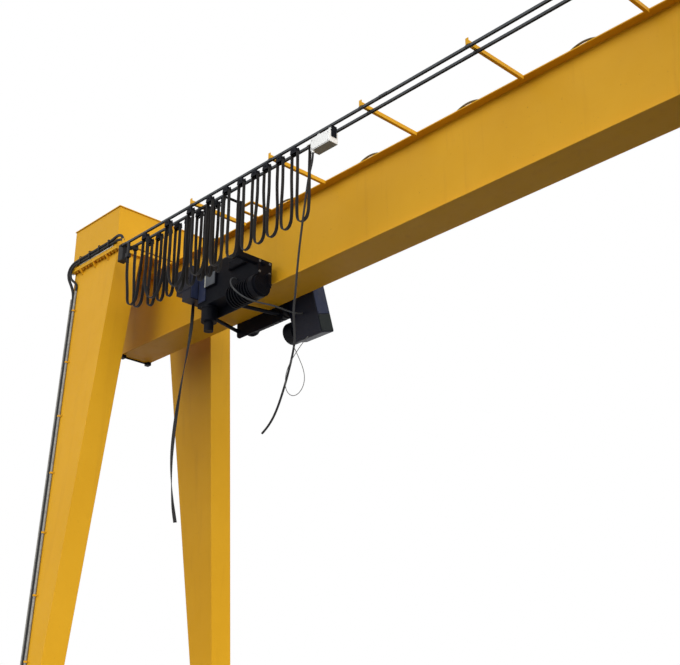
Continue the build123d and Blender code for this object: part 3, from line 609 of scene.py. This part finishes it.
pendant_route = placed([(x, PENDANT_CORD_Y, z) for x, z in PENDANT_CORD])
free_cord(
    "pendant_cable", pendant_route, round_section(PENDANT_CORD_R), "pendant_trolley")
wire_out = [WIRE_STEP * max(0, k - WIRE_FLAT) for k in range(len(WIRE))]
wire_route = placed([(x, WIRE_Y - out, z) for (x, z), out in zip(WIRE, wire_out)])
free_cord(
    "pendant_wire", wire_route, round_section(WIRE_R, WIRE_SIDES), "pendant_trolley",
    slot="conduit_grey", mat=WIRE_GREY)
tail_route = placed([(x, TAIL_Y, z) for x, z in TAIL])
free_cord(
    "hoist_tail_cable", tail_route, flat_section(CABLE_W, TAIL_T), "hoist_trolley",
    turns=TAIL_TWIST)
gear_entry = [GEAR_PLACE @ Vector((at(MOTOR_CORD_X), y, MOTOR_CORD_RISE)) for y in (-MOTOR_CORD_RUN, 0)]
free_cord(
    "motor_cable", placed(MOTOR_CORD) + gear_entry, round_section(MOTOR_CORD_R),
    "hoist_trolley", mat=CORD_GREY)

# Bolts under the leg flanges and over the foot flanges
LEG_LOW, LEG_HIGH = box("legs")
FLANGE_BOLT = 0.026
FLANGE_BOLT_X = (-0.090, 0.940)
FLANGE_BOLT_Y = 1.003
FLANGE_BOLTS = 15
GUSSET_X = (0.092, 0.4135, 0.735)
GUSSET_CLEAR = 0.034
FOOT_BOLT_X = (0.437, 0.687)
FOOT_BOLT_Y = (1.300, 1.435, 1.570)


def mirrored(spots):
    """Places on one leg, given as X, Y and Z, repeated on all four."""
    return [(end * at(x), side * y, z) for end, side, (x, y, z) in product(ENDS, ENDS, spots)]


def clear_of_gussets(x):
    return all(abs(x - gusset) > GUSSET_CLEAR for gusset in GUSSET_X)


flange_x = filter(clear_of_gussets, evenly(FLANGE_BOLT_X, FLANGE_BOLTS))
flange_spots = mirrored([(x, FLANGE_BOLT_Y, LEG_HIGH.z) for x in flange_x])
bolts("leg_flange_bolts", flange_spots, -Z_AXIS, FLANGE_BOLT, "yellow_paint", "crane_frame")
foot_spots = mirrored([(x, y, LEG_LOW.z) for x, y in product(FOOT_BOLT_X, FOOT_BOLT_Y)])
bolts("foot_bolts", foot_spots, Z_AXIS, FLANGE_BOLT, "yellow_paint", "crane_frame")

# Covers over the ground wheels' axles, on both faces of each ground beam
AXLE = (0.562, 1.760, 0.200)
AXLE_SIDE = 0.150
COVER_R = 0.078
COVER_TAPER = 0.96
COVER_T = 0.014
COVER_SIDES = 32
COVER_BOLT = 0.012
COVER_BOLTS = 6
COVER_RING = 0.75 * COVER_R


def axle_covers():
    bm = bmesh.new()
    for axle, face in product(mirrored([AXLE]), ENDS):
        hub = Vector(axle) + face * AXLE_SIDE * X_AXIS
        add_disc(bm, hub, face * X_AXIS, COVER_R, COVER_R * COVER_TAPER, COVER_T, COVER_SIDES)
        for y, z in round_section(COVER_RING, COVER_BOLTS):
            add_bolt(bm, hub + Vector((face * COVER_T, y, z)), face * X_AXIS, COVER_BOLT)
    piece("axle_covers", bm, "yellow_paint", "crane_frame")


axle_covers()

# Weld beads along the girder's webs
BEAD = 0.008
BEAD_SHORT = 0.002


def web_welds():
    low, high = box("girder_webs")
    bm = bmesh.new()
    for side, (z, rise) in product(ENDS, ((low.z, 1), (high.z, -1))):
        outline = ((side * high.y, z), (side * (high.y + BEAD), z), (side * high.y, z + rise * BEAD))
        ends = (low.x + BEAD_SHORT, high.x - BEAD_SHORT)
        skin(bm, [[(x, *corner) for corner in outline] for x in ends])
    piece("web_welds", bm, "yellow_paint", "crane_frame")


web_welds()

# Dark bar between the trolley stops, at each end of the bottom flange
STOP_BAR_X = 0.048
STOP_BAR = 0.018
STOP_BAR_LONG = 0.366
STOP_BAR_BEVEL = 0.002


def stop_bars():
    bm = bmesh.new()
    for end in ENDS:
        centre = (end * at(STOP_BAR_X), 0, above(-STOP_BAR / 2))
        add_box(bm, centre, (STOP_BAR, STOP_BAR_LONG, STOP_BAR), bevel=STOP_BAR_BEVEL)
    piece("stop_bars", bm, "hoist_dark", "crane_frame")


stop_bars()

# Ears beside the near left leg's conduits, and straps over the head's cables. Profiles run along and out
STRAP_T = 0.003
LEG_TOP_Y = -0.974
LEG_FOOT_X = 0.457
LEG_TOP = Vector((LEG_LOW.x, LEG_TOP_Y, LEG_HIGH.z))
LEG_FOOT = Vector((at(LEG_FOOT_X), LEG_LOW.y, LEG_LOW.z))
EARS = 9
EAR_Z = (1.15, 7.55)
EAR_W = 0.026
EAR = ((0.098, 0.036), (0.123, 0.036), (0.123, 0.002), (0.168, 0.002))
EAR_BOLT = 0.010
EAR_BOLT_ALONG = 0.148
EAR_BOLT_OUT = 0.005
HEAD_LOW = box("head_beams")[0].z
HEAD_FACE_Y = -1.016
HEAD_STRAP_X = (0.10, 0.34, 0.58, 0.82)
HEAD_STRAP_W = 0.024
HEAD_STRAP = (
    (0.006, 0.002), (0.020, 0.002), (0.020, 0.044), (0.120, 0.044), (0.120, 0.002), (0.138, 0.002))


def axes(along, across, out):
    return Matrix((along, across, out)).transposed().to_4x4()


def add_strap(bm, place, profile, width):
    rings = []
    for k, (along, out) in enumerate(profile):
        before = Vector(profile[max(k - 1, 0)])
        after = Vector(profile[min(k + 1, len(profile) - 1)])
        run = (after - before).normalized()
        inner = Vector((along, 0, out))
        outer = inner + Vector((-run.y, 0, run.x)) * STRAP_T
        half = Y_AXIS * width / 2
        rings.append([place @ spot for spot in (inner - half, inner + half, outer + half, outer - half)])
    skin(bm, rings)


def leg_straps():
    down = (LEG_FOOT - LEG_TOP).normalized()
    out = down.cross(X_AXIS).normalized()
    bm = bmesh.new()
    for z in evenly(EAR_Z, EARS):
        spot = LEG_TOP.lerp(LEG_FOOT, (LEG_TOP.z - z) / (LEG_TOP.z - LEG_FOOT.z))
        add_strap(bm, Matrix.Translation(spot) @ axes(X_AXIS, down, out), EAR, EAR_W)
        add_bolt(bm, spot + X_AXIS * EAR_BOLT_ALONG + out * EAR_BOLT_OUT, out, EAR_BOLT)
    piece("leg_straps", bm, "yellow_paint", "crane_frame")


def head_straps():
    bm = bmesh.new()
    for x in HEAD_STRAP_X:
        place = Matrix.Translation((at(x), HEAD_FACE_Y, HEAD_LOW)) @ axes(Z_AXIS, X_AXIS, -Y_AXIS)
        add_strap(bm, place, HEAD_STRAP, HEAD_STRAP_W)
    piece("head_straps", bm, "cable_black", "crane_frame")


leg_straps()
head_straps()

# Bright pipe on the head, under the cables, and a fitting on the leg flange's corner
PIPE_X = (0.06, 0.90)
PIPE_R = 0.007
PIPE_OUT = 0.008
PIPE_RISE = 0.0125
FITTING = Vector((box("leg_flanges")[0].x, -0.990, 8.210))
FITTING_NUT_R = 0.026
FITTING_NUT_H = 0.028
FITTING_STUB_R = (0.020, 0.017)
FITTING_STUB_H = 0.020
FITTING_STUB_SIDES = 16


def corner_fitting():
    bm = bmesh.new()
    add_disc(bm, FITTING, -X_AXIS, FITTING_NUT_R, FITTING_NUT_R, FITTING_NUT_H, HEX_SIDES)
    add_disc(bm, FITTING, -X_AXIS, *FITTING_STUB_R, FITTING_STUB_H, FITTING_STUB_SIDES, FITTING_NUT_H)
    piece("corner_fitting", bm, "conduit_grey", "crane_frame")


pipe_line = [Vector((at(x), HEAD_FACE_Y - PIPE_OUT, HEAD_LOW + PIPE_RISE)) for x in PIPE_X]
piece("head_pipe", sweep(pipe_line, round_section(PIPE_R)), "conduit_grey", "crane_frame", smooth=True)
corner_fitting()

# Cover on the festoon's end box
END_BOX_W = 0.120
END_BOX_RISE = 0.034
END_BOX_SET = 0.044
END_COVER_T = 0.004
END_COVER_INSET = 0.008
END_COVER_BEVEL = 0.0015
END_SCREW_R = 0.0063
END_SCREW_SIDES = 10
END_SCREW_INSET = 0.016


def end_box_cover():
    low, high = box("festoon_end_box")
    x = (low.x, low.x + END_BOX_W)
    z = (low.z + END_BOX_RISE, high.z)
    face = low.y + END_BOX_SET
    cover = [(a + END_COVER_INSET, b - END_COVER_INSET) for a, b in (x, z)]
    bm = bmesh.new()
    add_plate(bm, *cover, face, END_COVER_T, END_COVER_BEVEL)
    add_screws(bm, x, z, face - END_COVER_T, END_SCREW_INSET, END_SCREW_R, END_SCREW_SIDES)
    piece("end_box_cover", bm, "cable_black", "crane_frame")


end_box_cover()

# Cheek plates on the carriers' saddles, each with a clamp bolt
CHEEK_T = 0.004
CHEEK_LOW = SADDLE_LOW - 0.030
CHEEK_TOP = RAIL_LOW - 0.008
CHEEK_TOP_HALF = 0.034
CHEEK_BOLT = 0.012


def cheeks(name, carrier, body, sides=ENDS):
    low, top = SADDLE_HALF, CHEEK_TOP_HALF
    outline = ((-low, CHEEK_LOW), (low, CHEEK_LOW), (top, CHEEK_TOP), (-top, CHEEK_TOP))
    bm = bmesh.new()
    for side in sides:
        inner = carrier.y + side * SADDLE_SIDE
        outer = inner + side * CHEEK_T
        skin(bm, [[(carrier.x + along, y, z) for along, z in outline] for y in (inner, outer)])
        add_bolt(bm, (carrier.x, outer, (CHEEK_LOW + CHEEK_TOP) / 2), side * Y_AXIS, CHEEK_BOLT)
    piece(name, bm, "hoist_dark", body)


for label, carriers in (("pendant_carrier", OUTER_CARRIERS), ("power_carrier", INNER_CARRIERS)):
    for k, carrier in enumerate(carriers):
        cheeks(f"{label}_cheeks_{k + 1:02d}", carrier, f"{label}_{k + 1:02d}")
cheeks("tow_cheek", TOW_CARRIER, "hoist_trolley", sides=(-1,))

# Pendant box: lid screws and a dark bracket at its right end
PENDANT_LOW, PENDANT_HIGH = box("pendant_box")
PENDANT_W = 0.305
PENDANT_H = 0.148
PENDANT_RISE = 0.026
PENDANT_TOP = PENDANT_LOW.z + PENDANT_RISE + PENDANT_H
LID_SCREW_R = 0.007
LID_SCREW_SIDES = 12
LID_SCREW_INSET = 0.024
BRACKET_T = 0.008
BRACKET_W = 0.080
BRACKET_H = 0.140
BRACKET_SINK = 0.010
BRACKET_FOOT = 0.076
BRACKET_FOOT_T = 0.006
BRACKET_BEVEL = 0.002


def pendant_screws():
    x = (PENDANT_HIGH.x - PENDANT_W, PENDANT_HIGH.x)
    z = (PENDANT_TOP - PENDANT_H, PENDANT_TOP)
    bm = bmesh.new()
    add_screws(bm, x, z, PENDANT_LOW.y, LID_SCREW_INSET, LID_SCREW_R, LID_SCREW_SIDES)
    piece("pendant_screws", bm, "wheel_steel", "pendant_trolley")


def pendant_bracket():
    right = PENDANT_HIGH.x + BRACKET_T
    upright = (right - BRACKET_T / 2, OUTER_Y, PENDANT_TOP - BRACKET_SINK)
    foot = (right - BRACKET_FOOT / 2, OUTER_Y, PENDANT_TOP + BRACKET_FOOT_T / 2)
    bm = bmesh.new()
    add_box(bm, upright, (BRACKET_T, BRACKET_W, BRACKET_H), bevel=BRACKET_BEVEL)
    add_box(bm, foot, (BRACKET_FOOT, BRACKET_W, BRACKET_FOOT_T), bevel=BRACKET_BEVEL)
    piece("pendant_bracket", bm, "hoist_dark", "pendant_trolley")


pendant_screws()
pendant_bracket()

# Panel on the drive case, with the terminal box's lid and the bright edge beside it
TERMINAL_LOW, TERMINAL_HIGH = box("terminal_box")
PANEL_X = (2.192, 2.338)
PANEL_Z = (0.040, 0.365)
PANEL_T = 0.014
PANEL_SUNK = 0.001
PANEL_BEVEL = 0.003
LID_T = 0.006
LID_INSET = 0.010
LID_BEVEL = 0.002
EDGE_X = (-0.004, 0.016)
EDGE_Z = (0.009, 0.021)
EDGE_T = 0.014
EDGE_SUNK = 0.004


def case_panel():
    x = [at(edge) for edge in PANEL_X]
    z = [above(edge) for edge in PANEL_Z]
    bm = bmesh.new()
    add_plate(bm, x, z, TERMINAL_HIGH.y + PANEL_SUNK, PANEL_T, PANEL_BEVEL)
    piece("case_panel", bm, "cabinet_blue", "hoist_trolley", PANEL_BLUE)


def terminal_lid():
    x = (TERMINAL_LOW.x, TERMINAL_HIGH.x)
    z = (TERMINAL_LOW.z, TERMINAL_HIGH.z)
    face = TERMINAL_LOW.y
    lid = [(a + LID_INSET, b - LID_INSET) for a, b in (x, z)]
    bm = bmesh.new()
    add_plate(bm, *lid, face, LID_T, LID_BEVEL)
    add_screws(bm, x, z, face - LID_T, LID_SCREW_INSET, LID_SCREW_R, LID_SCREW_SIDES)
    piece("terminal_lid", bm, "hoist_dark", "hoist_trolley", LID_GREY)


def terminal_edge():
    x = [TERMINAL_LOW.x + step for step in EDGE_X]
    z = (TERMINAL_LOW.z + EDGE_Z[0], TERMINAL_HIGH.z - EDGE_Z[1])
    bm = bmesh.new()
    add_plate(bm, x, z, TERMINAL_LOW.y + EDGE_SUNK, EDGE_T, PANEL_BEVEL)
    piece("terminal_edge", bm, "conduit_grey", "hoist_trolley")


case_panel()
terminal_lid()
terminal_edge()

# Bolted cover on the drive case's shoulder
SHOULDER_X = (2.872, 3.178)
SHOULDER_Z = (0.280, 0.380)
SHOULDER_BOLT = 0.010
SHOULDER_BOLT_X = (2.885, 3.025, 3.165)
SHOULDER_BOLT_Z = (0.292, 0.368)


def shoulder_cover():
    face = box("drive_case")[0].y
    bm = bmesh.new()
    add_plate(bm, [at(x) for x in SHOULDER_X], [above(z) for z in SHOULDER_Z], face, LID_T, LID_BEVEL)
    for x, z in product(SHOULDER_BOLT_X, SHOULDER_BOLT_Z):
        add_bolt(bm, (at(x), face - LID_T, above(z)), -Y_AXIS, SHOULDER_BOLT)
    piece("shoulder_cover", bm, "hoist_dark", "hoist_trolley")


shoulder_cover()

# Control cabinet: door with hinges and a latch, and a panel on its right side
CABINET_LOW, CABINET_HIGH = box("control_cabinet")
DOOR_INSET = 0.018
DOOR_H = 0.300
DOOR_T = 0.008
DOOR_BEVEL = 0.003
HINGE_R = 0.007
HINGE_H = 0.044
HINGE_SIDES = 12
HINGE_IN = 0.006
HINGE_OUT = 0.010
HINGE_Z = (0.278, 0.462)
LATCH_IN = 0.040
LATCH_Z = 0.392
LATCH_R = (0.016, 0.014)
LATCH_H = 0.012
LATCH_SIDES = 20
LATCH_KEY = (0.008, 0.006, 0.024)
LATCH_KEY_OUT = 0.022
LATCH_KEY_BEVEL = 0.001
SIDE_PANEL_T = 0.008
SIDE_PANEL_OUT = 0.002
SIDE_PANEL_Y = (-0.594, -0.488)
SIDE_PANEL_Z = (0.112, 0.548)
SIDE_PANEL_BEVEL = 0.002


def cabinet_door():
    face = CABINET_LOW.y
    x = (CABINET_LOW.x + DOOR_INSET, CABINET_HIGH.x - DOOR_INSET)
    top = CABINET_HIGH.z - DOOR_INSET
    latch_x = x[1] - LATCH_IN
    bm = bmesh.new()
    add_plate(bm, x, (top - DOOR_H, top), face, DOOR_T, DOOR_BEVEL)
    for z in HINGE_Z:
        hinge = (x[0] + HINGE_IN, face - HINGE_OUT, above(z))
        add_disc(bm, hinge, Z_AXIS, HINGE_R, HINGE_R, HINGE_H, HINGE_SIDES)
    add_disc(bm, (latch_x, face - DOOR_T, above(LATCH_Z)), -Y_AXIS, *LATCH_R, LATCH_H, LATCH_SIDES)
    add_box(bm, (latch_x, face - LATCH_KEY_OUT, above(LATCH_Z)), LATCH_KEY, bevel=LATCH_KEY_BEVEL)
    piece("cabinet_door", bm, "cabinet_blue", "hoist_trolley")


def cabinet_side():
    centre = (CABINET_HIGH.x + SIDE_PANEL_OUT, sum(SIDE_PANEL_Y) / 2, above(sum(SIDE_PANEL_Z) / 2))
    size = (SIDE_PANEL_T, SIDE_PANEL_Y[1] - SIDE_PANEL_Y[0], SIDE_PANEL_Z[1] - SIDE_PANEL_Z[0])
    bm = bmesh.new()
    add_box(bm, centre, size, bevel=SIDE_PANEL_BEVEL)
    piece("cabinet_side", bm, "cabinet_blue", "hoist_trolley", PANEL_BLUE)


cabinet_door()
cabinet_side()

# Hoist motor: grille on its end, and bolts and cable glands on the plate beside it. Pairs are Y and Z
MOTOR_AXIS = (-0.430, -0.070)
GRILLE = (0.118, 0.094, 0.070, 0.046)
GRILLE_SIDES = 36
GRILLE_BAR = 0.010
GRILLE_DEEP = 0.008
GRILLE_OUT = 0.003
GRILLE_LAP = 1.08
HUB_R = (0.026, 0.022)
HUB_H = 0.010
HUB_SIDES = 20
PLATE_X = 3.397
PLATE_BOLT = 0.018
PLATE_BOLTS = ((-0.470, 0.240), (-0.310, 0.240), (-0.310, 0.110), (-0.470, 0.100), (-0.305, -0.030))

# Glands as Y, Z, radius and length. A hexagon takes up the first share of the length, a neck the rest
GLANDS = ((-0.420, 0.215, 0.030, 0.048), (-0.345, 0.060, 0.036, 0.040), (-0.315, -0.045, 0.024, 0.034))
GLAND_HEX = 0.6
GLAND_NECK = (0.8, 0.7)
GLAND_SIDES = 20


def motor_grille():
    y, z = MOTOR_AXIS
    hub = Vector((box("hoist_motor")[1].x, y, above(z)))
    bm = bmesh.new()
    for r in GRILLE:
        rim = [hub + Vector((GRILLE_OUT, *step)) for step in round_section(r, GRILLE_SIDES)]
        for a, b in zip(rim, rim[1:] + rim[:1]):
            turn = Y_AXIS.rotation_difference((b - a).normalized()).to_matrix().to_4x4()
            add_box(bm, (a + b) / 2, (GRILLE_DEEP, (b - a).length * GRILLE_LAP, GRILLE_BAR), turn)
    add_disc(bm, hub, X_AXIS, *HUB_R, HUB_H, HUB_SIDES)
    piece("motor_grille", bm, "hoist_dark", "hoist_trolley")


def motor_glands():
    bm = bmesh.new()
    for y, z, r, length in GLANDS:
        spot = (at(PLATE_X), y, above(z))
        hexagon = length * GLAND_HEX
        neck = [r * share for share in GLAND_NECK]
        add_disc(bm, spot, X_AXIS, r, r, hexagon, HEX_SIDES)
        add_disc(bm, spot, X_AXIS, *neck, length - hexagon, GLAND_SIDES, hexagon)
    piece("motor_glands", bm, "hoist_dark", "hoist_trolley")


motor_grille()
plate_spots = [(at(PLATE_X), y, above(z)) for y, z in PLATE_BOLTS]
bolts("motor_plate_bolts", plate_spots, X_AXIS, PLATE_BOLT, "wheel_steel", "hoist_trolley")
motor_glands()

# Panels on the gear case's right end, each with bolts in its corners
GEAR_W = 0.226
GEAR_PANEL_T = 0.010
GEAR_PANEL_INSET = 0.010
GEAR_BOLT = 0.011
GEAR_BOLT_INSET = 0.022
GEAR_UPPER_Z = (0.245, 0.700)
GEAR_LOWER_Z = (0.016, 0.232)


def gear_panel(name, z, slot, mat):
    face = box("drum_gearbox")[1].x - PANEL_SUNK
    centre = GEAR_PLACE @ Vector((face + GEAR_PANEL_T / 2, GEAR_W / 2, sum(z) / 2))
    size = (GEAR_PANEL_T, GEAR_W - 2 * GEAR_PANEL_INSET, z[1] - z[0])
    bm = bmesh.new()
    add_box(bm, centre, size, GEAR_LEAN, bevel=PANEL_BEVEL)
    for corner in corners((0, GEAR_W), z, GEAR_BOLT_INSET):
        add_bolt(bm, GEAR_PLACE @ Vector((face + GEAR_PANEL_T, *corner)), X_AXIS, GEAR_BOLT)
    piece(name, bm, slot, "hoist_trolley", mat)


gear_panel("gear_panel_upper", GEAR_UPPER_Z, "cabinet_blue", PANEL_BLUE)
gear_panel("gear_panel_lower", GEAR_LOWER_Z, "hoist_dark", PANEL_GREEN)

# Floor
FLOOR_HALF = (6.5, 2.5)
FLOOR_PALE = srgb(206, 206, 204)
FLOOR_DULL = srgb(196, 196, 195)


def floor():
    shader = Shader("floor")
    clouds = shader.noise(scale=1.2)
    shader.set("Base Color", shader.stain(FLOOR_PALE, clouds, share=0.3, colour=FLOOR_DULL))
    shader.set("Roughness", 0.9)
    bm = bmesh.new()
    stretch = Matrix.Diagonal((*FLOOR_HALF, 1, 1))
    bmesh.ops.create_grid(bm, x_segments=1, y_segments=1, size=1, matrix=stretch)
    mesh = bpy.data.meshes.new("floor")
    bm.to_mesh(mesh)
    bm.free()
    mesh.materials.append(shader.mat)
    made = bpy.data.objects.new("floor", mesh)
    bpy.context.scene.collection.objects.link(made)


floor()

# Light: a white backdrop, a pale sky that lights only from above the horizon, and two soft suns
SKY_TINT = (0.93, 0.96, 1.0, 1)
SKY_FULL = 0.30
SKY_STRENGTH = 0.68


def sky():
    world = bpy.data.worlds.new("studio")
    bpy.context.scene.world = world
    world.use_nodes = True
    tree = world.node_tree
    tree.nodes.clear()
    toward = add_node(tree, "ShaderNodeTexCoord").outputs["Generated"]
    up = add_node(tree, "ShaderNodeSeparateXYZ", {"Vector": toward}).outputs["Z"]
    rise = add_node(tree, "ShaderNodeMapRange", {"Value": up, "From Max": SKY_FULL, "To Max": SKY_STRENGTH})
    light = add_node(tree, "ShaderNodeBackground", {"Color": SKY_TINT, "Strength": rise.outputs["Result"]})
    backdrop = add_node(tree, "ShaderNodeBackground", {"Color": WHITE})
    path = add_node(tree, "ShaderNodeLightPath").outputs
    seen = path["Is Camera Ray"]
    for ray in ("Is Glossy Ray", "Is Transmission Ray"):
        seen = add_node(tree, "ShaderNodeMath", {0: seen, 1: path[ray]}, operation="MAXIMUM").outputs[0]
    mix = add_node(tree, "ShaderNodeMixShader", {"Fac": seen, 1: light.outputs[0], 2: backdrop.outputs[0]})
    add_node(tree, "ShaderNodeOutputWorld", {"Surface": mix.outputs[0]})


def sun(name, toward, strength, spread):
    data = bpy.data.lights.new(name, "SUN")
    data.energy = strength
    data.angle = math.radians(spread)
    lamp = bpy.data.objects.new(name, data)
    lamp.rotation_mode = "QUATERNION"
    lamp.rotation_quaternion = Vector(toward).to_track_quat("-Z", "Y")
    bpy.context.scene.collection.objects.link(lamp)


sky()
sun("key", (0.06, 0.88, -0.30), strength=1.6, spread=70)
sun("side", (-0.92, 0.22, -0.30), strength=2.4, spread=60)

# Camera
lens = bpy.data.cameras.new("camera")
lens.sensor_width = SENSOR_WIDTH
lens.lens = lens.sensor_width * FOCAL_PIXELS / PHOTO_WIDTH
camera = bpy.data.objects.new("camera", lens)
camera.location = CAMERA_AT
camera.rotation_mode = "QUATERNION"
camera.rotation_quaternion = CAMERA_ALONG.to_track_quat("-Z", "Y") @ Quaternion((0, 0, 1), CAMERA_ROLL)
bpy.context.scene.collection.objects.link(camera)
bpy.context.scene.camera = camera
bpy.context.scene.view_settings.view_transform = "Standard"
